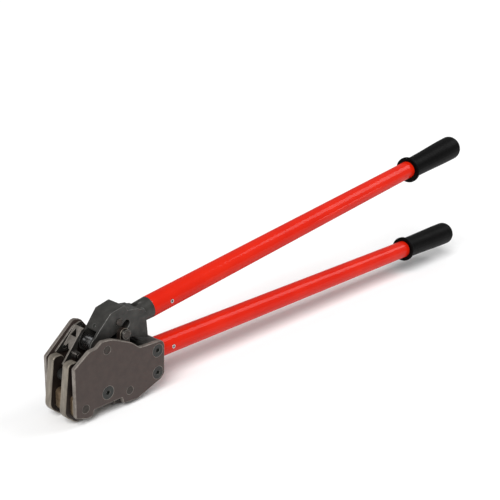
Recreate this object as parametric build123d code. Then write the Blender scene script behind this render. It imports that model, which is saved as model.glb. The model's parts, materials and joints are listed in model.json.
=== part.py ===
"""Manual notch sealer for steel strapping, as an assembly of its separate pieces.

The head is two side plates with three dies and four notching jaws between them. A long
handle swings a yoke on the pivot pin. The yoke drives the rear jaws through a drive pin
in its cam slots, and the front jaws through a short link. A second long handle is fixed
to the head. Millimetres, +Z up. The origin is the middle of the centre die's anvil face,
+X runs back towards the handles, and Y runs across the head.
"""

from build123d import *
import os
from math import atan2, cos, degrees, radians, sin

# Head, across the width from the middle out
CENTRE_DIE_WIDTH = 16.0
SIDE_PLAY = 0.2
JAW_THICKNESS = 10.0
OUTER_DIE_WIDTH = 4.25
PLATE_THICKNESS = 5.0
PLATE_EDGE = 0.6
JAW_EDGE = 0.7
CHEEK_GAP = 17.0
CHEEK_THICKNESS = 3.2
CHEEK_PLAY = 0.4

# Pivots, as (x, z)
PIVOT_HEIGHT = 65.5
JAW_PIN_SPAN = 62.8
JAW_PIN_HEIGHT = 5.3
DRIVE_PIN_AT = (33.3, 72.0)
LINK_FRONT_AT = (-36.0, 38.0)
LINK_REAR_AT = (0.0, 41.0)

# Motion
OPENING = 22.0
JAW_RATIO = 0.75
SLOT_OVERTRAVEL = 12.0

# Pins, and the clearance of what turns on them
PIVOT_PIN_RADIUS = 5.0
JAW_PIN_RADIUS = 5.0
DRIVE_PIN_RADIUS = 4.5
LINK_PIN_RADIUS = 4.0
RUNNING_CLEARANCE = 0.05
CAM_CLEARANCE = 0.3
LINK_SLACK = 1.3

# Handles
TUBE_DIAMETER = 27.0
TUBE_WALL = 2.5
HANDLE_REACH = 782.0
UPPER_AXIS_HEIGHT = 72.7
UPPER_HANDLE_RISE = 8.2
UPPER_TUBE_START = 85.0
LOWER_AXIS_HEIGHT = 29.1
LOWER_TUBE_START = 86.5
SPIGOT_LENGTH = 45.0
ROLL_PIN_RADIUS = 2.5
ROLL_PIN_BORE = 1.3
ROLL_PIN_STAND = 0.3
ROLL_PIN_SETBACK = 27.0

# Grips
GRIP_LENGTH = 139.0
GRIP_WALL = 3.0
GRIP_END_WALL = 6.0
GRIP_END_WIDENING = 5.1
GRIP_FLANGE_WIDENING = 6.2
GRIP_FLANGE_LENGTH = 5.0

# Fasteners
SCREW_HEAD_RADIUS = 8.0
SCREW_SHANK_RADIUS = 4.0
SCREW_LENGTH = 18.0
SCREW_HEAD_DEPTH = 4.0
SCREW_HOLE_PLAY = 0.3
SOCKET_WIDTH = 5.0
SOCKET_DEPTH = 3.2
DIE_SCREW_AT = (0.0, 13.9)
BLOCK_SCREWS_AT = ((74.5, 40.9), (74.5, 12.7))

# Dies
DIE_HEIGHT = 22.5
DIE_FRONT = 45.0
MOUTH_HALF_LENGTH = 20.0
DIE_FOOT_DEPTH = 4.5
TIE_BAR_RADIUS = 6.0

# Guard bracket, beside the far plate
GUARD_WALL = 2.5
GUARD_INNER = 4.4
GUARD_PLATE_GAP = 0.75
GUARD_WEB = 3.0
GUARD_SCREWS_AT = ((-1.5, 79.0), (-22.0, 62.0))
SPRING_AT = (-21.5, 58.3)
SPRING_RADIUS = 4.25
SPRING_WIRE = 1.5
SPRING_END = -5.6

DIE_HALF = CENTRE_DIE_WIDTH / 2
JAW_INNER = DIE_HALF + SIDE_PLAY
JAW_OUTER = JAW_INNER + JAW_THICKNESS
OUTER_DIE_INNER = JAW_OUTER + SIDE_PLAY
PLATE_INNER = OUTER_DIE_INNER + OUTER_DIE_WIDTH
PLATE_OUTER = PLATE_INNER + PLATE_THICKNESS
GUARD_OUTER = PLATE_INNER - GUARD_PLATE_GAP
CHEEK_INNER = CHEEK_GAP / 2
CHEEK_OUTER = CHEEK_INNER + CHEEK_THICKNESS
ARM_INNER = CHEEK_OUTER + CHEEK_PLAY
PIVOT_AT = (0.0, PIVOT_HEIGHT)
FRONT_JAW_PIN_AT = (-JAW_PIN_SPAN / 2, JAW_PIN_HEIGHT)
REAR_JAW_PIN_AT = (JAW_PIN_SPAN / 2, JAW_PIN_HEIGHT)
TUBE_RADIUS = TUBE_DIAMETER / 2
BORE_RADIUS = TUBE_RADIUS - TUBE_WALL
GRIP_END_RADIUS = TUBE_RADIUS + GRIP_END_WIDENING
GRIP_FLANGE_RADIUS = TUBE_RADIUS + GRIP_FLANGE_WIDENING


def slab(sketch, y_from, y_to):
    """A sketch drawn in X and Z, given its thickness between two Y stations."""
    return extrude(Plane.XZ.offset(-y_from) * sketch, amount=y_to - y_from, dir=(0, 1, 0))


def rod(at, radius, y_from, y_to):
    """A round bar across the head."""
    return slab(Pos(*at) * Circle(radius), y_from, y_to)


def both_sides(build, y_inner, y_outer):
    """The same slab on the near side and on the far side of the middle plane."""
    return [slab(build, -y_outer, -y_inner), slab(build, y_inner, y_outer)]


def outline(*corners):
    """A closed face through (x, z, corner radius) points."""
    points = [(x, z) for x, z, _ in corners]
    radii = [radius for _, _, radius in corners]
    return make_face(FilletPolyline(*points, radius=radii, close=True))


def mirrored(corners):
    """The same corners on the other side of x = 0, kept in order round the outline."""
    return [(-x, z, radius) for x, z, radius in reversed(corners)]


def turned(point, centre, angle):
    """A point swung about a centre in the XZ plane, counter-clockwise seen from -Y."""
    x, z = point[0] - centre[0], point[1] - centre[1]
    c, s = cos(radians(angle)), sin(radians(angle))
    return (centre[0] + x * c - z * s, centre[1] + x * s + z * c)


def eased(piece, size, front=True, back=True):
    """The piece with a small chamfer round its outline, on its -Y face, its +Y face or both."""
    faces = piece.faces().filter_by(Axis.Y).sort_by(Axis.Y)
    chosen = [faces[0]] * front + [faces[-1]] * back
    return chamfer([edge for face in chosen for edge in face.outer_wire().edges()], size)


def group(solids):
    """Separate like solids in one node."""
    return Compound(children=[solid.solid() for solid in solids])


# ---- Side plates -------------------------------------------------------------------

FRONT_FOOT = [(-44.8, -2.0, 3), (-30.0, -7.0, 3), (-22.2, -6.8, 2.5), (-MOUTH_HALF_LENGTH, 0, 1)]
REAR_FOOT = [(MOUTH_HALF_LENGTH, 0, 1), (22.0, -7.6, 1.5), (42.5, -9.6, 4), (80.0, 3.2, 4)]
PLATE_REAR = [(85.2, 9.0, 4), (85.2, 52.2, 8), (56.0, 53.2, 10), (47.0, 54.0, 5), (36.0, 63.4, 30)]
PLATE_CREST = [(8.0, 76.2, 30), (-6.5, 77.8, 8), (-14.5, 72.4, 2)]
NEAR_PLATE_FRONT = [(-24.0, 71.4, 3), (-44.8, 57.0, 2)]
FAR_PLATE_FRONT = [(14.0, 73.0, 3), (4.0, 86.0, 7), (-6.0, 89.5, 8), (-44.8, 55.6, 2)]
NEAR_PLATE = FRONT_FOOT + REAR_FOOT + PLATE_REAR + PLATE_CREST + NEAR_PLATE_FRONT
FAR_PLATE = FRONT_FOOT + REAR_FOOT + PLATE_REAR + FAR_PLATE_FRONT


def countersink(at, side):
    """The coned seat and clearance hole of one screw, cut from a plate's outer face."""
    drill = Cylinder(SCREW_SHANK_RADIUS + SCREW_HOLE_PLAY, 2 * PLATE_THICKNESS)
    cone = Cone(SCREW_SHANK_RADIUS + SCREW_HOLE_PLAY, SCREW_HEAD_RADIUS, SCREW_HEAD_DEPTH)
    seat = drill + Pos(0, 0, PLATE_THICKNESS - SCREW_HEAD_DEPTH / 2) * cone
    return fastener_frame(at, side, PLATE_INNER) * seat


def fastener_frame(at, side, y):
    """A place on one side of the head, whose local z points out of that side."""
    return Location(Plane(origin=(at[0], side * y, at[1]), x_dir=(1, 0, 0), z_dir=(0, side, 0)))


def side_plate(corners, side):
    inner, outer = sorted((side * PLATE_INNER, side * PLATE_OUTER))
    plate = eased(slab(outline(*corners), inner, outer), PLATE_EDGE, side < 0, side > 0)
    for at in (PIVOT_AT, FRONT_JAW_PIN_AT, REAR_JAW_PIN_AT):
        radius = PIVOT_PIN_RADIUS if at == PIVOT_AT else JAW_PIN_RADIUS
        plate -= rod(at, radius, inner - 1, outer + 1)
    for at in (DIE_SCREW_AT, *BLOCK_SCREWS_AT):
        plate -= countersink(at, side)
    return plate


def far_side_plate():
    plate = side_plate(FAR_PLATE, 1)
    for at in GUARD_SCREWS_AT:
        plate -= rod(at, GUARD_SCREW_RADIUS, PLATE_INNER - 1, PLATE_OUTER + 1)
    return plate


def countersunk_screw(at, side):
    """A flush screw: coned head with a hexagon socket, and a plain shank."""
    head = Cone(SCREW_SHANK_RADIUS, SCREW_HEAD_RADIUS, SCREW_HEAD_DEPTH)
    screw = Pos(0, 0, -SCREW_HEAD_DEPTH / 2) * head
    shank = Cylinder(SCREW_SHANK_RADIUS, SCREW_LENGTH - SCREW_HEAD_DEPTH)
    screw += Pos(0, 0, -(SCREW_LENGTH + SCREW_HEAD_DEPTH) / 2) * shank
    socket = RegularPolygon(SOCKET_WIDTH / 2, 6, major_radius=False)
    screw -= Pos(0, 0, -SOCKET_DEPTH) * extrude(socket, amount=2 * SOCKET_DEPTH)
    return fastener_frame(at, side, PLATE_OUTER) * screw


# ---- Dies and the pieces between the plates ----------------------------------------

DIE_FOOT = [(22.5, -DIE_FOOT_DEPTH, 1.0), (41.0, -DIE_FOOT_DEPTH, 4), (DIE_FRONT, 2.0, 3)]
DIE_TOP = [(DIE_FRONT, DIE_HEIGHT, 5)]
DIE_HALF_OUTLINE = [(MOUTH_HALF_LENGTH, 0, 0.8)] + DIE_FOOT + DIE_TOP


def die(y_inner, y_outer):
    """A hardened die block. Its flat underside between the feet is the anvil."""
    block = slab(outline(*DIE_HALF_OUTLINE, *mirrored(DIE_HALF_OUTLINE)), y_inner, y_outer)
    for at in (FRONT_JAW_PIN_AT, REAR_JAW_PIN_AT):
        block -= rod(at, JAW_PIN_RADIUS, y_inner - 1, y_outer + 1)
    return block - rod(DIE_SCREW_AT, TIE_BAR_RADIUS, y_inner - 1, y_outer + 1)


def die_tie_bar():
    """The round bar through all the dies, tapped at each end for a plate screw."""
    bar = rod(DIE_SCREW_AT, TIE_BAR_RADIUS, -PLATE_INNER, PLATE_INNER)
    return bar - screw_holes(DIE_SCREW_AT)


def screw_holes(at):
    """The two tapped holes that face each other under a pair of plate screws."""
    depth = SCREW_LENGTH - PLATE_THICKNESS
    left = rod(at, SCREW_SHANK_RADIUS, -PLATE_INNER - 1, depth - PLATE_INNER)
    return left + rod(at, SCREW_SHANK_RADIUS, PLATE_INNER - depth, PLATE_INNER + 1)


def tube_axis(start, height, rise):
    """A place on a handle's axis whose local z runs along the handle towards its grip."""
    x, z = turned((start, 0), (0, 0), rise)
    direction = (cos(radians(rise)), 0, sin(radians(rise)))
    return Location(Plane(origin=(x, 0, height + z), x_dir=(0, 1, 0), z_dir=direction))


BLOCK_COLLAR = 6.0
LOWER_AXIS = tube_axis(LOWER_TUBE_START, LOWER_AXIS_HEIGHT, 0)
UPPER_AXIS = tube_axis(UPPER_TUBE_START, UPPER_AXIS_HEIGHT, UPPER_HANDLE_RISE)


def along(radius, start, end):
    """A cylinder along a handle's axis, from one station to another."""
    return Pos(0, 0, (start + end) / 2) * Cylinder(radius, end - start)


def roll_pin_hole():
    return Pos(0, 0, ROLL_PIN_SETBACK) * Rot(Y=90) * Cylinder(ROLL_PIN_RADIUS, 2 * TUBE_DIAMETER)


def handle_socket_block():
    """The steel block screwed between the plates, with a spigot for the fixed handle."""
    corners = [(60.0, 52.6, 3), (84.6, 52.0, 7.4), (84.6, 9.4, 4), (79.6, 4.4, 4), (60.0, -2.6, 3)]
    block = slab(outline(*reversed(corners)), -PLATE_INNER, PLATE_INNER)
    block += LOWER_AXIS * along(TUBE_RADIUS, -BLOCK_COLLAR, 0)
    for at in BLOCK_SCREWS_AT:
        block -= screw_holes(at)
    block += LOWER_AXIS * along(BORE_RADIUS, -BLOCK_COLLAR, SPIGOT_LENGTH)
    return block - LOWER_AXIS * roll_pin_hole()


# ---- Handles and grips -------------------------------------------------------------


def tube_length(start):
    return HANDLE_REACH - start - GRIP_END_WALL


def handle_tube(axis, start):
    length = tube_length(start)
    tube = along(TUBE_RADIUS, 0, length) - along(BORE_RADIUS, -1, length + 1)
    return axis * (tube - roll_pin_hole())


def roll_pin(axis):
    """A spring pin through tube and spigot, standing a little proud of the tube."""
    pin = Cylinder(ROLL_PIN_RADIUS, TUBE_DIAMETER + 2 * ROLL_PIN_STAND)
    pin -= Cylinder(ROLL_PIN_BORE, 2 * TUBE_DIAMETER)
    return axis * (Pos(0, 0, ROLL_PIN_SETBACK) * Rot(Y=90) * pin)


def grip(axis, start):
    """A moulded sleeve, closed and rounded at its end, with a flange round its mouth."""
    end = tube_length(start) + GRIP_END_WALL
    mouth = end - GRIP_LENGTH
    flange = mouth + GRIP_FLANGE_LENGTH
    body = TUBE_RADIUS + GRIP_WALL
    half = outline(
        (0, mouth, 0),
        (GRIP_FLANGE_RADIUS, mouth, 1.5),
        (GRIP_FLANGE_RADIUS, flange, 1.5),
        (body, flange + 2, 2),
        (body + 0.4, flange + 30, 20),
        (GRIP_END_RADIUS, end - 30, 20),
        (GRIP_END_RADIUS, end, 9),
        (0, end, 0),
    )
    sleeve = revolve(Plane.XZ * half, Axis.Z)
    return axis * (sleeve - along(TUBE_RADIUS, mouth - 1, tube_length(start)))


# ---- Yoke --------------------------------------------------------------------------


def slot_point(angle):
    """Where the drive pin's centre lies on the yoke when the handle is open by angle."""
    swung = turned(DRIVE_PIN_AT, REAR_JAW_PIN_AT, JAW_RATIO * angle)
    return turned(swung, PIVOT_AT, -angle)


def cam_slot():
    """The arc that the drive pin's centre follows on the yoke, as wide as the pin."""
    middle = (OPENING - SLOT_OVERTRAVEL) / 2
    stations = [slot_point(angle) for angle in (-SLOT_OVERTRAVEL, middle, OPENING + 1)]
    return SlotArc(ThreePointArc(*stations), height=2 * (DRIVE_PIN_RADIUS + CAM_CLEARANCE))


EAR_RADIUS = PIVOT_PIN_RADIUS + 5.5
BUSH_RADIUS = PIVOT_PIN_RADIUS + 3.0
BUSH_END_PLAY = 0.3
BLOCK_HEEL = (74.0, 53.4)
YOKE_FRONT_FOOT = (-9.4, 68.6)
CREASE = (17.6, 99.6)
TOP_REAR = (38.0, 104.2)
STEP_FOOT = (41.5, 96.5)
CHEEK_REAR_TOP = (69.0, 91.0)
CHEEK_REAR = (72.0, 74.0)
YOKE_WEB = 4.0
FLARE_START = 82.0
FLARE = 2.6
NECK_RADIUS = TUBE_RADIUS - 0.1
NECK_ROOT_RADIUS = TUBE_RADIUS - 2.1
NECK_LENGTH = 42.0
RIVET_AT = (30.2, 85.3)
RIVET_RADIUS = 2.5
RIVET_HEAD_RADIUS = 4.2
SET_SCREW_RADIUS = 2.5
SET_SCREW_SOCKET = 2.5
SET_SCREW_STAND = 0.4
SET_SCREW_ABOVE_WINDOW = 4.0
WINDOW_TOP = 81.0


def cheek():
    """One side wall of the yoke: an ear on the pivot, the cam slot, and a heel."""
    heel = [(8.0, 54.4, 6), (30.0, 57.5, 10), (48.0, 62.0, 8), (63.0, 56.5, 6), (*BLOCK_HEEL, 1.5)]
    rear = [(*CHEEK_REAR, 4), (*CHEEK_REAR_TOP, 5)]
    top = [(*STEP_FOOT, 3), (*TOP_REAR, 3), (*CREASE, 3.5)]
    front = [(*YOKE_FRONT_FOOT, 6), (-8.0, 58.5, 6)]
    wall = outline(*heel, *rear, *top, *front)
    wall += Pos(*PIVOT_AT) * Circle(EAR_RADIUS)
    wall -= Pos(*PIVOT_AT) * Circle(PIVOT_PIN_RADIUS + RUNNING_CLEARANCE)
    wall -= Pos(*RIVET_AT) * Circle(RIVET_RADIUS)
    return wall


def yoke_section():
    """The yoke seen from the front, run right along it. It widens towards its top."""
    flared = CHEEK_OUTER + FLARE
    half = [(0, 0), (CHEEK_OUTER, 0), (CHEEK_OUTER, FLARE_START), (flared, TOP_REAR[1] + 4)]
    points = half + [(-y, z) for y, z in reversed(half)][:-1]
    start, end = 3 * YOKE_FRONT_FOOT[0], 2 * CHEEK_REAR[0]
    return extrude(Plane.YZ.offset(start) * make_face(Polyline(*points, close=True)), amount=end - start)


def front_direction():
    """Unit vector up the yoke's sloping front face."""
    x, z = CREASE[0] - YOKE_FRONT_FOOT[0], CREASE[1] - YOKE_FRONT_FOOT[1]
    length = (x * x + z * z) ** 0.5
    return (x / length, z / length)


def front_point(height, depth):
    """A point at a height on the front face, set in by a depth square to the face."""
    x, z = front_direction()
    run = (height - YOKE_FRONT_FOOT[1]) / z
    return (YOKE_FRONT_FOOT[0] + run * x + depth * z, height - depth * x)


def yoke_web():
    """The front and top walls that tie the two cheeks together."""
    outer = [front_point(WINDOW_TOP, 0), CREASE, TOP_REAR, STEP_FOOT, (60.0, 94.0)]
    inner = [(x, z - YOKE_WEB) for x, z in (outer[4], STEP_FOOT, TOP_REAR, CREASE)]
    inner[1:3] = [(STEP_FOOT[0] - 2, inner[1][1]), (TOP_REAR[0] - 2, inner[2][1])]
    inner[3] = (CREASE[0] + 2, inner[3][1])
    points = outer + inner + [front_point(WINDOW_TOP, YOKE_WEB)]
    radii = [1, 3, 3, 3, 0, 0, 1, 1, 3, 1]
    return outline(*[(x, z, radius) for (x, z), radius in zip(points, radii)])


def set_screw_place():
    """On the front wall just above the window, local z pointing out of the face."""
    x, z = front_point(WINDOW_TOP + SET_SCREW_ABOVE_WINDOW, 0)
    slope_x, slope_z = front_direction()
    return Location(Plane(origin=(x, 0, z), x_dir=(0, 1, 0), z_dir=(-slope_z, 0, slope_x)))


def yoke_tail():
    """The tongue that hangs below the pivot and pulls on the front link."""
    x, z = LINK_REAR_AT
    tip = [(x - 7.2, z + 1, 4), (x - 2, z - 7, 4), (x + 9, z - 4, 4)]
    upper = [(56.0, 70.0, 0), (36.0, 65.0, 6), (22.0, 60.0, 6), (5.0, 55.0, 5)]
    lower = [(20.0, 50.0, 8), (36.0, 58.0, 8), (56.0, 64.0, 0)]
    tail = outline(*upper, *tip, *lower)
    return tail - Pos(*LINK_REAR_AT) * Circle(LINK_PIN_RADIUS + RUNNING_CLEARANCE)


def handle_yoke():
    """The casting on the end of the moving handle."""
    widest = CHEEK_OUTER + FLARE
    walls = both_sides(cheek(), CHEEK_INNER, widest)
    yoke = walls[0] + walls[1] + slab(yoke_web(), -widest, widest)
    core = outline((52.0, 63.0, 2), (68.0, 62.0, 2), (70.0, 90.0, 2), (54.0, 92.0, 2))
    yoke += slab(core, -CHEEK_INNER, CHEEK_INNER)
    yoke = yoke & yoke_section()
    for spot_face in both_sides(Pos(*RIVET_AT) * Circle(RIVET_HEAD_RADIUS), CHEEK_OUTER, widest):
        yoke -= spot_face
    yoke += slab(yoke_tail(), -TAIL_HALF, TAIL_HALF)
    yoke += UPPER_AXIS * Pos(0, 0, -NECK_LENGTH / 2) * Cone(NECK_ROOT_RADIUS, NECK_RADIUS, NECK_LENGTH)
    yoke += UPPER_AXIS * along(BORE_RADIUS, -1, SPIGOT_LENGTH)
    yoke -= UPPER_AXIS * roll_pin_hole()
    yoke -= slab(cam_slot(), -PLATE_OUTER, PLATE_OUTER)
    return yoke - set_screw_place() * Cylinder(SET_SCREW_RADIUS, 4 * YOKE_WEB)


def cheek_rivet():
    rivet = rod(RIVET_AT, RIVET_RADIUS, -CHEEK_OUTER, CHEEK_OUTER)
    head = Pos(*RIVET_AT) * Circle(RIVET_HEAD_RADIUS)
    for side in both_sides(head, CHEEK_OUTER, CHEEK_OUTER + RIVET_HEAD):
        rivet += side
    return rivet


def yoke_set_screw():
    screw = Pos(0, 0, SET_SCREW_STAND - YOKE_WEB / 2) * Cylinder(SET_SCREW_RADIUS, YOKE_WEB)
    socket = extrude(RegularPolygon(SET_SCREW_SOCKET / 2, 6, major_radius=False), amount=YOKE_WEB)
    return set_screw_place() * (screw - Pos(0, 0, -YOKE_WEB / 3) * socket)


# ---- Jaws --------------------------------------------------------------------------

HOOK = [
    (-19.0, 6.0, 3),
    (-20.0, -1.0, 2),
    (-14.6, -3.4, 0.8),
    (-16.0, -9.0, 2.5),
    (-25.0, -12.0, 6),
    (-39.0, -11.6, 7),
    (-53.0, 0.5, 12),
]
FRONT_ARM = [(-45.6, 60.0, 6), (-32.5, 60.0, 6), (-27.0, 42.0, 12), (-24.0, 18.0, 10)]
REAR_HEEL = [(26.0, 26.0, 2), (41.5, 26.0, 8), (48.0, 15.0, 6)]
ARM_BOSS_RADIUS = 6.7


def front_jaw(side):
    """A hooked jaw. The pair notch the front edge of the seal."""
    inner, outer = sorted((side * JAW_INNER, side * JAW_OUTER))
    jaw = eased(slab(outline(*FRONT_ARM, *HOOK), inner, outer), JAW_EDGE)
    jaw -= rod(FRONT_JAW_PIN_AT, JAW_PIN_RADIUS + RUNNING_CLEARANCE, inner - 1, outer + 1)
    return jaw - rod(LINK_FRONT_AT, LINK_PIN_RADIUS, inner - 1, outer + 1)


def rear_jaw(side):
    """The opposite hook, with a long arm up past the yoke to the drive pin."""
    inner, outer = sorted((side * JAW_INNER, side * JAW_OUTER))
    arm_inner, arm_outer = sorted((side * ARM_INNER, side * JAW_OUTER))
    jaw = slab(outline(*mirrored(HOOK), *REAR_HEEL), inner, outer)
    x, z = DRIVE_PIN_AT
    arm = outline((25.0, 20.0, 0), (42.0, 20.0, 0), (x + ARM_BOSS_RADIUS, z, 0), (x - ARM_BOSS_RADIUS, z, 0))
    arm += Pos(x, z) * Circle(ARM_BOSS_RADIUS)
    jaw += slab(arm, arm_inner, arm_outer)
    jaw -= rod(REAR_JAW_PIN_AT, JAW_PIN_RADIUS + RUNNING_CLEARANCE, inner - 1, outer + 1)
    return jaw - rod(DRIVE_PIN_AT, DRIVE_PIN_RADIUS, inner - 1, outer + 1)


TAIL_HALF = 5.0
LINK_PLAY = 0.4
LINK_HALF_HEIGHT = 6.5
FORK_DEPTH = 14.0
RIVET_HEAD = 1.6


def front_link():
    """A forked link from the yoke's tail to the cross pin between the front jaws."""
    run = Vector(*LINK_REAR_AT) - Vector(*LINK_FRONT_AT)
    middle = (Vector(*LINK_REAR_AT) + Vector(*LINK_FRONT_AT)) / 2
    shape = SlotCenterToCenter(run.length, 2 * LINK_HALF_HEIGHT)
    angle = degrees(atan2(run.Y, run.X))
    half = JAW_INNER - LINK_PLAY
    link = slab(Pos(middle.X, middle.Y) * Rot(Z=angle) * shape, -half, half)
    fork = Pos(*LINK_REAR_AT) * Rectangle(2 * FORK_DEPTH, 4 * LINK_HALF_HEIGHT)
    link -= slab(fork, -TAIL_HALF - LINK_PLAY, TAIL_HALF + LINK_PLAY)
    link -= rod(LINK_REAR_AT, LINK_PIN_RADIUS, -half - 1, half + 1)
    return link - rod(LINK_FRONT_AT, LINK_PIN_RADIUS + LINK_SLACK, -half - 1, half + 1)


# ---- Pins, bushes and collars ------------------------------------------------------

COLLAR_RADIUS = DRIVE_PIN_RADIUS + 1.7
COLLAR_LENGTH = 2.1
COLLAR_SETBACK = 0.4
DRIVE_PIN_END_PLAY = 0.45
DRIVE_PIN_HALF = PLATE_INNER - DRIVE_PIN_END_PLAY
SNAP_RING = 0.8
SNAP_RING_HEIGHT = 1.0
SNAP_RING_PLAY = 0.15
SLEEVE_RADIUS = PIVOT_PIN_RADIUS + 2.0


def drive_pin():
    return rod(DRIVE_PIN_AT, DRIVE_PIN_RADIUS, -DRIVE_PIN_HALF, DRIVE_PIN_HALF)


def drive_pin_collars():
    ring = Pos(*DRIVE_PIN_AT) * (Circle(COLLAR_RADIUS) - Circle(DRIVE_PIN_RADIUS))
    outer = DRIVE_PIN_HALF - COLLAR_SETBACK
    return group(both_sides(ring, outer - COLLAR_LENGTH, outer))


def drive_pin_snap_rings():
    ring = Pos(*DRIVE_PIN_AT) * (Circle(DRIVE_PIN_RADIUS + SNAP_RING_HEIGHT) - Circle(DRIVE_PIN_RADIUS))
    start = JAW_OUTER + SNAP_RING_PLAY
    return group(both_sides(ring, start, start + SNAP_RING))


def pivot_bush():
    """The bright bush on the pivot pin between the yoke's ears."""
    bush = rod(PIVOT_AT, BUSH_RADIUS, BUSH_END_PLAY - CHEEK_INNER, CHEEK_INNER - BUSH_END_PLAY)
    return bush - rod(PIVOT_AT, PIVOT_PIN_RADIUS, -PLATE_OUTER, PLATE_OUTER)


def pivot_sleeves():
    """Spacers that hold the yoke in the middle of the head."""
    ring = Pos(*PIVOT_AT) * (Circle(SLEEVE_RADIUS) - Circle(PIVOT_PIN_RADIUS))
    return group(both_sides(ring, CHEEK_OUTER + SIDE_PLAY, PLATE_INNER))


# ---- Guard bracket and return spring -----------------------------------------------

GUARD_SCREW_RADIUS = 2.5
GUARD_FACE_FOOT = (-37.8, 47.6)
GUARD_SLOPE = 51.0
GUARD_BOSS_RADIUS = 5.0
GUARD_HEAD_HEIGHT = 2.5
GUARD_SOCKET = 3.0
GUARD_SOCKET_DEPTH = 1.8
NEAR_WALL_FRONT = [(*GUARD_FACE_FOOT, 0.8), (-8.6, 84.0, 1)]
NEAR_WALL_REAR = [(-7.0, 81.6, 0.8), (-14.4, 69.0, 4), (-17.6, 56.0, 4)]
FAR_WALL_FRONT = [(-35.2, 58.6, 1), (-9.5, 82.6, 2), (2.0, 86.0, 3)]
FAR_WALL_REAR = [(5.0, 79.0, 2), (-8.5, 70.0, 3), (-16.0, 56.0, 3)]
WEB_FROM, WEB_TO = 20.5, 48.0
WEB_SETBACK = 1.0
WINDOWS = ((18.0, 26.5), (35.5, 45.0))
WINDOW_MARGIN = 1.2
STUD_RADIUS = 2.0
STUD_HEAD_RADIUS = 3.2
STUD_HEAD = 1.3


def guard_station(along_face, depth):
    """A point by its distance up the sloping face and its depth behind it."""
    return turned(
        (GUARD_FACE_FOOT[0] + along_face, GUARD_FACE_FOOT[1] - depth), GUARD_FACE_FOOT, GUARD_SLOPE
    )


def guard_window(low, high):
    """A triangular window with its point uphill, cut square through the web."""
    face = Location(
        Plane(
            origin=(GUARD_FACE_FOOT[0], 0, GUARD_FACE_FOOT[1]),
            x_dir=(cos(radians(GUARD_SLOPE)), 0, sin(radians(GUARD_SLOPE))),
            z_dir=(-sin(radians(GUARD_SLOPE)), 0, cos(radians(GUARD_SLOPE))),
        )
    )
    near, far = GUARD_INNER + GUARD_WALL + WINDOW_MARGIN, GUARD_OUTER - GUARD_WALL - WINDOW_MARGIN
    shape = Polyline((low, near), (low, far), (high, (near + 2 * far) / 3), close=True)
    return face * extrude(make_face(shape), amount=3 * GUARD_WEB, both=True)


def guard_bracket():
    """A light cast guard in front of the yoke, screwed to the far plate."""
    near = slab(outline(*NEAR_WALL_FRONT, *NEAR_WALL_REAR), GUARD_INNER, GUARD_INNER + GUARD_WALL)
    far = slab(outline(*FAR_WALL_FRONT, *FAR_WALL_REAR), GUARD_OUTER - GUARD_WALL, GUARD_OUTER)
    back = WEB_SETBACK + GUARD_WEB
    corners = [(WEB_FROM, WEB_SETBACK), (WEB_TO, WEB_SETBACK), (WEB_TO, back), (WEB_FROM, back)]
    web = make_face(Polyline(*[guard_station(*corner) for corner in corners], close=True))
    bracket = near + far + slab(web, GUARD_INNER, GUARD_OUTER)
    for low, high in WINDOWS:
        bracket -= guard_window(low, high)
    for at in GUARD_SCREWS_AT:
        bracket += rod(at, GUARD_BOSS_RADIUS, GUARD_OUTER - GUARD_WALL, PLATE_INNER)
        bracket -= rod(at, GUARD_SCREW_RADIUS, GUARD_OUTER - 2 * GUARD_WALL, PLATE_INNER + 1)
    return bracket - rod(SPRING_AT, STUD_RADIUS, GUARD_INNER - 1, GUARD_INNER + GUARD_WALL + 1)


def guard_screws():
    screws = []
    for at in GUARD_SCREWS_AT:
        top = PLATE_OUTER + GUARD_HEAD_HEIGHT
        screw = rod(at, GUARD_SCREW_RADIUS, GUARD_OUTER - GUARD_WALL, PLATE_OUTER)
        screw += rod(at, 2 * GUARD_SCREW_RADIUS, PLATE_OUTER, top)
        socket = Pos(*at) * RegularPolygon(GUARD_SOCKET / 2, 6, major_radius=False)
        screws.append(screw - slab(socket, top - GUARD_SOCKET_DEPTH, top + 1))
    return group(screws)


def spring_stud():
    head_from = SPRING_END - RUNNING_CLEARANCE - STUD_HEAD
    stud = rod(SPRING_AT, STUD_RADIUS, head_from, GUARD_INNER + GUARD_WALL)
    return stud + rod(SPRING_AT, STUD_HEAD_RADIUS, head_from, head_from + STUD_HEAD)


def return_spring():
    """The coil of a torsion spring, as the tube that its turns fill."""
    ring = Pos(*SPRING_AT) * (Circle(SPRING_RADIUS) - Circle(SPRING_RADIUS - SPRING_WIRE))
    return slab(ring, SPRING_END, GUARD_INNER)


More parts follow.
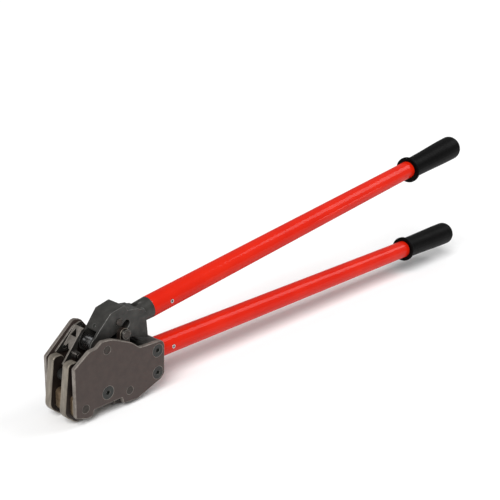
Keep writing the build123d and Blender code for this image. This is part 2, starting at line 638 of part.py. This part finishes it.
SCREW_PLACES = (DIE_SCREW_AT, *BLOCK_SCREWS_AT)
PARTS = {
    "near_side_plate": side_plate(NEAR_PLATE, -1),
    "far_side_plate": far_side_plate(),
    "centre_die": die(-DIE_HALF, DIE_HALF),
    "near_outer_die": die(-PLATE_INNER, -OUTER_DIE_INNER),
    "far_outer_die": die(OUTER_DIE_INNER, PLATE_INNER),
    "die_tie_bar": die_tie_bar(),
    "handle_socket_block": handle_socket_block(),
    "lower_handle_tube": handle_tube(LOWER_AXIS, LOWER_TUBE_START),
    "lower_grip": grip(LOWER_AXIS, LOWER_TUBE_START),
    "lower_roll_pin": roll_pin(LOWER_AXIS),
    "handle_pivot_pin": rod(PIVOT_AT, PIVOT_PIN_RADIUS, -PLATE_OUTER, PLATE_OUTER),
    "pivot_bush": pivot_bush(),
    "pivot_sleeves": pivot_sleeves(),
    "front_jaw_pin": rod(FRONT_JAW_PIN_AT, JAW_PIN_RADIUS, -PLATE_OUTER, PLATE_OUTER),
    "rear_jaw_pin": rod(REAR_JAW_PIN_AT, JAW_PIN_RADIUS, -PLATE_OUTER, PLATE_OUTER),
    "countersunk_screws": group([countersunk_screw(at, side) for at in SCREW_PLACES for side in (-1, 1)]),
    "guard_bracket": guard_bracket(),
    "guard_screws": guard_screws(),
    "spring_stud": spring_stud(),
    "return_spring": return_spring(),
    "handle_yoke": handle_yoke(),
    "cheek_rivet": cheek_rivet(),
    "yoke_set_screw": yoke_set_screw(),
    "upper_handle_tube": handle_tube(UPPER_AXIS, UPPER_TUBE_START),
    "upper_grip": grip(UPPER_AXIS, UPPER_TUBE_START),
    "upper_roll_pin": roll_pin(UPPER_AXIS),
    "near_front_jaw": front_jaw(-1),
    "far_front_jaw": front_jaw(1),
    "front_cross_pin": rod(LINK_FRONT_AT, LINK_PIN_RADIUS, -JAW_OUTER, JAW_OUTER),
    "front_link": front_link(),
    "link_rear_pin": rod(LINK_REAR_AT, LINK_PIN_RADIUS, LINK_PLAY - JAW_INNER, JAW_INNER - LINK_PLAY),
    "near_rear_jaw": rear_jaw(-1),
    "far_rear_jaw": rear_jaw(1),
    "drive_pin": drive_pin(),
    "drive_pin_collars": drive_pin_collars(),
    "drive_pin_snap_rings": drive_pin_snap_rings(),
}

os.makedirs("parts", exist_ok=True)
for name, piece in PARTS.items():
    export_step(piece, f"parts/{name}.step")
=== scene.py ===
import json
import math

import bmesh
import bpy
import numpy as np
from mathutils import Matrix, Vector

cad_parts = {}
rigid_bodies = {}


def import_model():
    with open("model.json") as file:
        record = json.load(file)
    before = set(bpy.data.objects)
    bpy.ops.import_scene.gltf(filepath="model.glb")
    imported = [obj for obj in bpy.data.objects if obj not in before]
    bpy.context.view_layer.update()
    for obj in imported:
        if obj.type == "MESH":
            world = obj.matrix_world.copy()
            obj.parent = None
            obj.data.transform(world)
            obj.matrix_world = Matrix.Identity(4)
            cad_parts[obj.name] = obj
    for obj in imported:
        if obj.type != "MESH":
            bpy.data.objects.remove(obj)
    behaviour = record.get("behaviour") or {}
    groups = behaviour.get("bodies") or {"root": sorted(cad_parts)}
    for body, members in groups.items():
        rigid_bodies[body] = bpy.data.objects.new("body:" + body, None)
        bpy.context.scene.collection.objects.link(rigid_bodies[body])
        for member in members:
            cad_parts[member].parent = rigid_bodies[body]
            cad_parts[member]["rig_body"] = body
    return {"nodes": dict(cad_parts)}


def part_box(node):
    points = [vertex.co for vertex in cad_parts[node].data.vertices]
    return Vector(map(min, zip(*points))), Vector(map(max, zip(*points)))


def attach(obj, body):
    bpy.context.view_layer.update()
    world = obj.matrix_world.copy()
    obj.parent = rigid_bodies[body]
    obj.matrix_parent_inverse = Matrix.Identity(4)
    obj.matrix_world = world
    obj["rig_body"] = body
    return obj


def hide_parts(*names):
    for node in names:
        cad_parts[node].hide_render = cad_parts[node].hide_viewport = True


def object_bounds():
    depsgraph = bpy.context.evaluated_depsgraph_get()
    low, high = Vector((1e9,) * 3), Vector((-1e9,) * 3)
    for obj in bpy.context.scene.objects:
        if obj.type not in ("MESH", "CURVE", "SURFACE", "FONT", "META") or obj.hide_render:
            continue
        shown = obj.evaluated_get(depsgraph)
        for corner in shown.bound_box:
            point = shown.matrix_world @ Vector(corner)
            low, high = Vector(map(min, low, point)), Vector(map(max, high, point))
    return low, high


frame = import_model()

cad_box = [list(corner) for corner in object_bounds()]
nodes = frame["nodes"]
MM = 0.001


# ---- Side plates ----
# Two 5 mm plates of mild steel, laser cut and tumbled, then browned with a hot oxide.
# The flat faces stay dark brown and a little mottled. The cut edges and rounded corners are paler: partly
# rubbed bare, partly a painted highlight where they face the key light.

PLATE_ROUNDING = 0.35 * MM
PLATE_MOTTLE = 9 * MM
BLAST_GRIT = 0.9 * MM
DARK_TONE_TO = 0.36
LIGHT_TONE_FROM = 0.66
WELD_DISTANCE = 0.002 * MM
FLAT_WITHIN = math.radians(0.6)
SHARP_FROM = math.radians(32)


def linear(code):
    """An sRGB hex colour as linear red, green, blue and alpha."""
    channel = np.array([int(code[i:i + 2], 16) for i in (1, 3, 5)]) / 255
    value = np.where(channel <= 0.04045, channel / 12.92, ((channel + 0.055) / 1.055) ** 2.4)
    return (*value.tolist(), 1.0)


def add(tree, kind, inputs=(), **settings):
    """A shader node with its settings. An input is a plain value or another node's output."""
    made = tree.nodes.new("ShaderNode" + kind)
    for name, value in settings.items():
        setattr(made, name, value)
    for name, value in dict(inputs).items():
        if isinstance(value, bpy.types.NodeSocket):
            tree.links.new(value, made.inputs[name])
        else:
            made.inputs[name].default_value = value
    return made


def grained(name, dark, light, patch, grit, depth, rough, metallic, stretch=(1, 1, 1), **surface):
    """A finish whose colour wanders between two tones in patches of one size, with a fine grit.

    Patch and grit are real sizes in metres, and depth is how far the grit stands out."""
    material = bpy.data.materials.new(name)
    material.use_nodes = True
    tree = material.node_tree
    shader = tree.nodes["Principled BSDF"]
    place = add(tree, "Mapping", {
        "Vector": add(tree, "TexCoord").outputs["Object"], "Scale": stretch
    }).outputs["Vector"]
    clouds = add(tree, "TexNoise", {"Vector": place, "Scale": 1 / patch, "Detail": 5.0, "Roughness": 0.6})
    tones = add(tree, "ValToRGB", {"Fac": clouds.outputs["Fac"]})
    tones.color_ramp.elements[0].position = DARK_TONE_TO
    tones.color_ramp.elements[0].color = linear(dark)
    tones.color_ramp.elements[1].position = LIGHT_TONE_FROM
    tones.color_ramp.elements[1].color = linear(light)
    tree.links.new(tones.outputs["Color"], shader.inputs["Base Color"])
    wear = add(tree, "MapRange", {
        "Value": clouds.outputs["Fac"], "From Min": 0.3, "From Max": 0.7,
        "To Min": rough[1], "To Max": rough[0]
    })
    tree.links.new(wear.outputs["Result"], shader.inputs["Roughness"])
    grains = add(tree, "TexNoise", {"Vector": place, "Scale": 1 / grit, "Detail": 3.0})
    bump = add(tree, "Bump", {"Height": grains.outputs["Fac"], "Distance": depth, "Strength": 0.6})
    tree.links.new(bump.outputs["Normal"], shader.inputs["Normal"])
    shader.inputs["Metallic"].default_value = metallic
    for socket, value in surface.items():
        shader.inputs[socket.replace("_", " ")].default_value = value
    return material


def welded(node):
    """A copy of a CAD node's mesh with its triangles joined into whole flat faces."""
    mesh = nodes[node].data.copy()
    mesh.name = node + "_finished"
    work = bmesh.new()
    work.from_mesh(mesh)
    bmesh.ops.remove_doubles(work, verts=work.verts, dist=WELD_DISTANCE)
    bmesh.ops.dissolve_limit(work, angle_limit=FLAT_WITHIN, verts=work.verts, edges=work.edges)
    for edge in work.edges:
        edge.smooth = len(edge.link_faces) == 2 and edge.calc_face_angle(0) < SHARP_FROM
    for face in work.faces:
        face.smooth = True
    work.to_mesh(mesh)
    work.free()
    mesh.materials.clear()
    return mesh


def finished(node, rounding, face_finish, edge_finish, sides=None):
    """A CAD node with rounded edges. The rounded edges, and faces whose normals point away from the `sides`
    axis, take the edge finish: a paler tone, partly wear and partly a painted highlight.
    """
    mesh = welded(node)
    mesh.materials.append(face_finish)
    mesh.materials.append(edge_finish)
    if sides is not None:
        # Faces turned away from the `sides` axis take the paler edge finish: a painted highlight where they
        # face the key light, on top of any wear.
        for polygon in mesh.polygons:
            polygon.material_index = int(abs(polygon.normal.dot(Vector(sides))) < 0.5)
    piece = bpy.data.objects.new(node + "_finished", mesh)
    bpy.context.scene.collection.objects.link(piece)
    bevel = piece.modifiers.new("rounded edges", "BEVEL")
    bevel.width = rounding
    bevel.segments = 2
    bevel.limit_method = "ANGLE"
    bevel.angle_limit = SHARP_FROM
    bevel.use_clamp_overlap = False
    bevel.material = 1
    bevel.harden_normals = True
    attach(piece, nodes[node]["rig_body"])
    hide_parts(node)
    return piece


browned_plate = grained(
    "browned_mild_steel", "#3b302c", "#413530", PLATE_MOTTLE, BLAST_GRIT, 0.02 * MM, (0.46, 0.52), 0.25
)
# Paler edge tone: partly rubbed steel, partly a painted highlight.
rubbed_and_lit_edge = grained(
    "rubbed_and_lit_steel_edge", "#6f6862", "#8d867f", PLATE_MOTTLE, BLAST_GRIT, 0.03 * MM, (0.38, 0.5), 0.6
)
for plate in ("near_side_plate", "far_side_plate"):
    finished(plate, PLATE_ROUNDING, browned_plate, rubbed_and_lit_edge, sides=(0, 1, 0))


# ---- Dies and tie bar ----
# Three blocks of tool steel, ground flat, hardened and tempered to a bronze brown.
# Grinding leaves faint lines across the blocks, and the corners are only just broken.

GRIND_LINE = 0.8 * MM
BROKEN_CORNER = 0.3 * MM
tempered_die = grained(
    "tempered_ground_tool_steel", "#6a5844", "#8d7a63", 6 * MM, GRIND_LINE, 0.03 * MM, (0.28, 0.42), 0.75,
    stretch=(1, 0.15, 1)
)
# The broken corners take a paler tone: partly bright ground steel, partly a painted highlight.
bright_and_lit_corner = grained(
    "bright_and_lit_tool_steel_corner", "#a89a84", "#c2b59f", 6 * MM, GRIND_LINE, 0.01 * MM, (0.25, 0.35), 0.9
)
for block in ("centre_die", "near_outer_die", "far_outer_die", "die_tie_bar"):
    finished(block, BROKEN_CORNER, tempered_die, bright_and_lit_corner)


# ---- Notching jaws ----
# Four hooked jaws of alloy steel, cut from plate, hardened and browned.
# Their flanks are dark. The rounded corners, and on the front jaws the curved edge faces, are a paler grey
# brown: partly milled and worn, partly a painted highlight.

JAW_ROUNDING = 0.45 * MM
browned_jaw = grained(
    "browned_alloy_steel", "#1d1613", "#2a211d", 8 * MM, BLAST_GRIT, 0.02 * MM, (0.4, 0.55), 0.45
)
# Paler edge tone: partly milled and worn steel, partly a painted highlight.
milled_and_lit_jaw_edge = grained(
    "milled_and_lit_jaw_edge", "#6d665d", "#8c8478", 5 * MM, 0.7 * MM, 0.03 * MM, (0.36, 0.5), 0.6,
    stretch=(1, 1, 0.2)
)
for jaw in ("near_front_jaw", "far_front_jaw"):
    finished(jaw, JAW_ROUNDING, browned_jaw, milled_and_lit_jaw_edge, sides=(0, 1, 0))
# The rear jaws' curved edge faces keep the dark flank tone: painted shade, as they sit below the plates.
for jaw in ("near_rear_jaw", "far_rear_jaw"):
    finished(jaw, JAW_ROUNDING, browned_jaw, milled_and_lit_jaw_edge)


# ---- Yoke, link and socket block ----
# The yoke is a steel casting, shot blasted and blackened. The block and link are blackened bar.
# The oxide is satin black with a fine pebbled skin, and the rounded corners are grey: partly worn, partly a
# painted highlight.

CAST_PEBBLE = 1.2 * MM
CASTING_ROUNDING = 0.45 * MM
BAR_ROUNDING = 0.5 * MM
blackened_casting = grained(
    "black_oxide_cast_steel", "#2b2a28", "#3b3a37", 10 * MM, CAST_PEBBLE, 0.05 * MM, (0.38, 0.52), 0.4
)
# Grey corner tone: partly worn oxide, partly a painted highlight.
worn_and_lit_black_corner = grained(
    "worn_and_lit_black_oxide_corner", "#4f4f4d", "#747370", 6 * MM, CAST_PEBBLE, 0.03 * MM, (0.34, 0.46), 0.6
)
finished("handle_yoke", CASTING_ROUNDING, blackened_casting, worn_and_lit_black_corner)
finished("handle_socket_block", BAR_ROUNDING, blackened_casting, worn_and_lit_black_corner)
deep_black_bar = grained(
    "black_oxide_bar", "#121211", "#1c1b1a", 8 * MM, BLAST_GRIT, 0.02 * MM, (0.45, 0.55), 0.3
)
finished("front_link", BAR_ROUNDING, deep_black_bar, deep_black_bar)


# ---- Guard bracket ----
# A thin casting in front of the yoke, tumbled and left bare, with two triangular windows.
# Its flat sides are dark, and its sloping face and rims are grey brown: partly rubbed, partly a painted
# highlight where they face the key light.

GUARD_ROUNDING = 0.4 * MM
dull_casting = grained(
    "dark_flat_casting", "#23211f", "#35322f", 7 * MM, 1.0 * MM, 0.05 * MM, (0.4, 0.55), 0.4
)
# Paler rim tone: partly rubbed casting, partly a painted highlight.
rubbed_and_lit_rim = grained(
    "rubbed_and_lit_casting_rim", "#67625c", "#86807a", 5 * MM, 1.0 * MM, 0.03 * MM, (0.46, 0.56), 0.6
)
finished("guard_bracket", GUARD_ROUNDING, dull_casting, rubbed_and_lit_rim, sides=(0, 1, 0))


# ---- Pins, screws and collars ----
# Turned and ground pins, left dark from heat treatment, and black oxide socket screws.
# Every end has a small chamfer, which catches a line of light. The chamfers also take a paler tone: partly
# ground and worn steel, partly a painted highlight.

PIN_CHAMFER = 0.35 * MM
SCREW_CHAMFER = 0.25 * MM
dark_pin = grained(
    "dark_hardened_pin", "#35302d", "#443f3b", 4 * MM, 0.6 * MM, 0.02 * MM, (0.3, 0.42), 0.75
)
# Paler chamfer tone on the pins: partly ground steel, partly a painted highlight.
pin_corner = grained(
    "ground_and_lit_pin_corner", "#4b4743", "#625e59", 4 * MM, 0.6 * MM, 0.01 * MM, (0.25, 0.35), 0.85
)
black_screw = grained(
    "black_oxide_screw", "#252625", "#343533", 3 * MM, 0.5 * MM, 0.01 * MM, (0.3, 0.4), 0.5
)
# Paler chamfer tone on the screws: partly worn oxide, partly a painted highlight.
screw_corner = grained(
    "worn_and_lit_screw_corner", "#565753", "#73746f", 3 * MM, 0.5 * MM, 0.01 * MM, (0.3, 0.4), 0.7
)
DARK_PINS = (
    "handle_pivot_pin", "front_jaw_pin", "rear_jaw_pin", "front_cross_pin", "link_rear_pin", "drive_pin",
    "drive_pin_snap_rings", "pivot_sleeves", "cheek_rivet", "spring_stud"
)
for pin in DARK_PINS:
    finished(pin, PIN_CHAMFER, dark_pin, pin_corner)
for screw in ("countersunk_screws", "guard_screws", "yoke_set_screw"):
    finished(screw, SCREW_CHAMFER, black_screw, screw_corner)


# ---- Pivot bush, roll pins and collars ----
# A bright turned bush on the pivot, polished by the yoke, and spring pins through the tubes.
# Turning leaves fine rings round the bush. The drive pin's collars are darker ground steel.

BUSH_CHAMFER = 0.5 * MM
ROLL_PIN_CHAMFER = 0.25 * MM
COLLAR_CHAMFER = 0.4 * MM
bright_bush = grained(
    "bright_turned_steel", "#b4b5b6", "#dcdddd", 3 * MM, 0.5 * MM, 0.02 * MM, (0.2, 0.32), 1.0,
    stretch=(0.1, 1, 0.1)
)
finished("pivot_bush", BUSH_CHAMFER, bright_bush, bright_bush)
for pin in ("lower_roll_pin", "upper_roll_pin"):
    finished(pin, ROLL_PIN_CHAMFER, bright_bush, bright_bush)
ground_collar = grained(
    "ground_steel_collar", "#4b4845", "#625f5b", 3 * MM, 0.5 * MM, 0.02 * MM, (0.25, 0.35), 0.9
)
finished("drive_pin_collars", COLLAR_CHAMFER, ground_collar, ground_collar)


# ---- Handle tubes ----
# Steel tube, sprayed with a thick gloss red enamel and stoved.
# The enamel is smooth with a faint orange peel, and rounds the cut end of the tube.

PEEL = 3.5 * MM
ENAMEL_ROUNDING = 0.4 * MM
red_enamel = grained(
    "stoved_gloss_red_enamel", "#c81a04", "#d02007", 60 * MM, PEEL, 0.01 * MM, (0.5, 0.55), 0.0,
    Coat_Weight=0.22, Coat_Roughness=0.1, Specular_IOR_Level=0.05
)
for tube in ("lower_handle_tube", "upper_handle_tube"):
    finished(tube, ENAMEL_ROUNDING, red_enamel, red_enamel)


# ---- Grips ----
# Moulded black rubber sleeves, pushed over the tubes, with a flange round the mouth.
# The end is domed with a small moulding nib, and two thin parting lines run along the sides.

GRIP_FLANGE = 5.0 * MM
GRIP_CHAMFER = 1.6 * MM
GRIP_DOME = 9.0 * MM
NIB_RADIUS = 4.0 * MM
NIB_HEIGHT = 0.5 * MM
NIB_BEVEL = 0.7 * MM
NIB_SETBACK = 0.1 * MM
PARTING_RIDGE = 0.22 * MM
PARTING_SPREAD = math.radians(2.2)
GRIP_SIDES = 144
GRIP_SKIN = 3.0 * MM
MOUTH_BEVEL = 0.6 * MM
MOUTH_DEPTH = 1.0 * MM
FLANGE_EDGE = 1.0 * MM
FLANGE_ROOT = 2.4 * MM
BODY_START = GRIP_FLANGE + 3.5 * MM
BODY_STATIONS = 24
END_BELOW_FLANGE = 1.1 * MM


def long_axis(node):
    """The middle line of a long round node: its start, its direction towards +X, and its length."""
    points = np.empty(len(nodes[node].data.vertices) * 3)
    nodes[node].data.vertices.foreach_get("co", points)
    points = points.reshape(-1, 3)
    low, high = points.min(0), points.max(0)
    spread = np.linalg.svd(points - points.mean(0), full_matrices=False)[2][0]
    direction = spread * np.sign(spread[0])
    direction[1] = 0.0
    direction /= np.linalg.norm(direction)
    run = points @ direction
    start = (low + high) / 2
    start += direction * (run.min() - start @ direction)
    radius = np.linalg.norm(np.cross(points - start, direction), axis=1)
    return start, direction, run.max() - run.min(), radius.max()


def arc(centre_along, centre_out, radius, start, end, steps=10):
    """Stations on a circle: (along, out) = centre + radius * (sin a, cos a), from start to end degrees."""
    angle = np.radians(np.linspace(start, end, steps))
    return np.column_stack((centre_along + radius * np.sin(angle), centre_out + radius * np.cos(angle)))


def turned_surface(name, profile, start, direction, sides, ridge=0.0):
    """A lathe surface. Point = start + along * direction + out * (cos a * side + sin a * top).

    Ridge lifts the skin where a is 0 or a half turn, fading as a bell curve to either side."""
    along, out = np.asarray(profile).T
    angle = np.linspace(0, 2 * np.pi, sides, endpoint=False)
    side = np.array([0.0, 1.0, 0.0])
    top = np.cross(direction, side)
    away = np.abs((angle + np.pi / 2) % np.pi - np.pi / 2)
    lift = ridge * np.exp(-((away / PARTING_SPREAD) ** 2))
    reach = out[:, None] + np.where(out[:, None] > 1.05 * NIB_RADIUS, lift[None, :], 0.0)
    ring = np.cos(angle)[:, None] * side + np.sin(angle)[:, None] * top
    points = start + along[:, None, None] * direction + reach[..., None] * ring[None]
    rows, columns = np.meshgrid(np.arange(len(along) - 1), np.arange(sides), indexing="ij")
    turn = (columns + 1) % sides
    faces = np.stack((
        rows * sides + columns, (rows + 1) * sides + columns, (rows + 1) * sides + turn, rows * sides + turn
    ), -1).reshape(-1, 4)
    mesh = bpy.data.meshes.new(name)
    mesh.from_pydata(points.reshape(-1, 3).tolist(), [], faces.tolist())
    work = bmesh.new()
    work.from_mesh(mesh)
    bmesh.ops.remove_doubles(work, verts=work.verts, dist=0.001 * MM)
    bmesh.ops.recalc_face_normals(work, faces=work.faces)
    for edge in work.edges:
        edge.smooth = edge.calc_face_angle(0) < math.radians(40)
    for face in work.faces:
        face.smooth = True
    work.to_mesh(mesh)
    work.free()
    piece = bpy.data.objects.new(name, mesh)
    bpy.context.scene.collection.objects.link(piece)
    return piece


black_rubber = grained(
    "moulded_black_rubber", "#040404", "#070707", 8 * MM, 0.8 * MM, 0.03 * MM, (0.44, 0.5), 0.0,
    Specular_IOR_Level=0.04
)
for grip, tube in (("lower_grip", "lower_handle_tube"), ("upper_grip", "upper_handle_tube")):
    mouth, direction, length, flange = long_axis(grip)
    tube_start, _, tube_length, bore = long_axis(tube)
    plug = tube_length - (mouth - tube_start) @ direction
    end = flange - END_BELOW_FLANGE
    neck = bore + GRIP_SKIN
    waist = np.linspace(0, 1, BODY_STATIONS)
    body_end = length - GRIP_DOME
    nib_end = length - NIB_SETBACK
    swell = neck + (end - neck) * (3 * waist ** 2 - 2 * waist ** 3)
    body = np.column_stack((BODY_START + (body_end - BODY_START) * waist, swell))
    profile = np.vstack((
        [(plug, 0.0), (plug, bore), (MOUTH_DEPTH, bore), (0.0, bore + MOUTH_BEVEL)],
        arc(GRIP_CHAMFER, flange - GRIP_CHAMFER, GRIP_CHAMFER, -90, 0, 7),
        arc(GRIP_FLANGE - FLANGE_EDGE, flange - FLANGE_EDGE, FLANGE_EDGE, 0, 90, 6),
        [(GRIP_FLANGE, neck + FLANGE_ROOT)],
        arc(GRIP_FLANGE + FLANGE_ROOT, neck + FLANGE_ROOT, FLANGE_ROOT, 270, 180, 8)[1:],
        body,
        arc(length - GRIP_DOME, end - GRIP_DOME, GRIP_DOME, 0, 84, 14)[1:],
        [(nib_end - NIB_HEIGHT, NIB_RADIUS), (nib_end, NIB_RADIUS - NIB_BEVEL), (nib_end, 0.0)],
    ))
    sleeve = turned_surface(grip + "_sleeve", profile, mouth, direction, GRIP_SIDES, PARTING_RIDGE)
    sleeve.data.materials.append(black_rubber)
    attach(sleeve, nodes[grip]["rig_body"])
    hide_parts(grip)


# ---- Return spring ----
# A spring of hardened music wire, wound cold in close coils and dipped in oil.
# It sits on a stud in the guard bracket. The wire's two short ends are cut off square.

SPRING_SIDES = 16
SPRING_STEPS = 40
WIRE_RADIUS = 0.75 * MM
COIL_PITCH = 2.15 * WIRE_RADIUS
COIL_STARTS_AT = math.radians(50)


def wire_surface(name, route, radius, sides):
    """A round wire along a route, with its rings square to the route and both ends closed.

    Point = route + radius * (cos a * across + sin a * normal)."""
    route = np.asarray(route)
    heading = np.gradient(route, axis=0)
    heading /= np.linalg.norm(heading, axis=1)[:, None]
    guide = np.array([0.0, 1.0, 0.02])
    across = np.cross(heading, guide)
    across /= np.linalg.norm(across, axis=1)[:, None]
    normal = np.cross(across, heading)
    angle = np.linspace(0, 2 * np.pi, sides, endpoint=False)
    ring = np.cos(angle)[None, :, None] * across[:, None] + np.sin(angle)[None, :, None] * normal[:, None]
    points = route[:, None] + radius * ring
    rows, columns = np.meshgrid(np.arange(len(route) - 1), np.arange(sides), indexing="ij")
    turn = (columns + 1) % sides
    faces = np.stack((
        rows * sides + columns, rows * sides + turn, (rows + 1) * sides + turn, (rows + 1) * sides + columns
    ), -1).reshape(-1, 4).tolist()
    last = (len(route) - 1) * sides
    faces += [list(range(sides))[::-1], [last + i for i in range(sides)]]
    mesh = bpy.data.meshes.new(name)
    mesh.from_pydata(points.reshape(-1, 3).tolist(), [], faces)
    work = bmesh.new()
    work.from_mesh(mesh)
    bmesh.ops.recalc_face_normals(work, faces=work.faces)
    for face in work.faces:
        face.smooth = len(face.verts) == 4
    work.to_mesh(mesh)
    work.free()
    piece = bpy.data.objects.new(name, mesh)
    bpy.context.scene.collection.objects.link(piece)
    return piece


music_wire = grained(
    "oiled_music_wire", "#33302e", "#4a4744", 3 * MM, 0.5 * MM, 0.01 * MM, (0.25, 0.35), 0.9
)
spring_low, spring_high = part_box("return_spring")
coil_radius = (spring_high.x - spring_low.x) / 2 - WIRE_RADIUS
coil_length = spring_high.y - spring_low.y - 2 * WIRE_RADIUS
turns = coil_length / COIL_PITCH
sweep = np.linspace(0, 1, int(turns * SPRING_STEPS))
coil_angle = COIL_STARTS_AT + 2 * np.pi * turns * sweep
coil = np.column_stack((
    (spring_low.x + spring_high.x) / 2 + coil_radius * np.cos(coil_angle),
    spring_low.y + WIRE_RADIUS + coil_length * sweep,
    (spring_low.z + spring_high.z) / 2 + coil_radius * np.sin(coil_angle),
))
spring = wire_surface("return_spring_coil", coil, WIRE_RADIUS, SPRING_SIDES)
spring.data.materials.append(music_wire)
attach(spring, nodes["return_spring"]["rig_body"])
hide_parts("return_spring")


# ---- Studio ----
# A pale floor and an even surround, with a soft key light from the upper left.
# A weaker soft light beyond the grips draws the highlight along the handle tubes.

FLOOR_REACH = 60.0
FLOOR_DROP = 2 * MM
floor_mesh = bpy.data.meshes.new("floor")
floor_height = cad_box[0][2] - FLOOR_DROP
corners = [(x, y, floor_height) for x, y in ((-1, -1), (1, -1), (1, 1), (-1, 1))]
floor_mesh.from_pydata([(x * FLOOR_REACH, y * FLOOR_REACH, z) for x, y, z in corners], [], [(0, 1, 2, 3)])
floor = bpy.data.objects.new("floor", floor_mesh)
bpy.context.scene.collection.objects.link(floor)
paper = bpy.data.materials.new("matt_white_paper")
paper.use_nodes = True
paper.node_tree.nodes["Principled BSDF"].inputs["Base Color"].default_value = linear("#f4f4f4")
paper.node_tree.nodes["Principled BSDF"].inputs["Roughness"].default_value = 0.9
floor_mesh.materials.append(paper)

SURROUND_GLOW = 0.4
world = bpy.data.worlds.new("pale_surround")
world.use_nodes = True
world.node_tree.nodes["Background"].inputs["Color"].default_value = (1, 1, 1, 1)
world.node_tree.nodes["Background"].inputs["Strength"].default_value = SURROUND_GLOW
bpy.context.scene.world = world

SOFT_LIGHTS = (
    ("key_softbox", 3.1, 38, (0.65, 0.32, -0.69)),
    ("rear_softbox", 0.7, 26, (-0.71, 0.28, -0.65)),
)
for name, energy, spread, travel in SOFT_LIGHTS:
    lamp = bpy.data.lights.new(name, "SUN")
    lamp.energy = energy
    lamp.angle = math.radians(spread)
    light = bpy.data.objects.new(name, lamp)
    light.rotation_euler = Vector(travel).to_track_quat("-Z", "Y").to_euler()
    bpy.context.scene.collection.objects.link(light)

CAMERA_AT = (-0.5559, -0.7209, 0.4767)
CAMERA_BEARING = 41.36
CAMERA_DROP = 18.36
CAMERA_ROLL = 1.71
LENS_LENGTH = 63.14
lens = bpy.data.cameras.new("studio_camera")
lens.sensor_width = 36.0
lens.lens = LENS_LENGTH
lens.clip_start = 0.05
lens.clip_end = 200.0
bearing, drop, roll = (math.radians(angle) for angle in (CAMERA_BEARING, CAMERA_DROP, CAMERA_ROLL))
ahead = Vector((math.cos(drop) * math.cos(bearing), math.cos(drop) * math.sin(bearing), -math.sin(drop)))
level = Vector((math.sin(bearing), -math.cos(bearing), 0.0))
right = level * math.cos(roll) + level.cross(ahead) * math.sin(roll)
camera = bpy.data.objects.new("studio_camera", lens)
camera.matrix_world = Matrix((right, right.cross(ahead), -ahead)).transposed().to_4x4()
camera.location = CAMERA_AT
bpy.context.scene.collection.objects.link(camera)
bpy.context.scene.camera = camera
bpy.context.scene.view_settings.view_transform = "Standard"
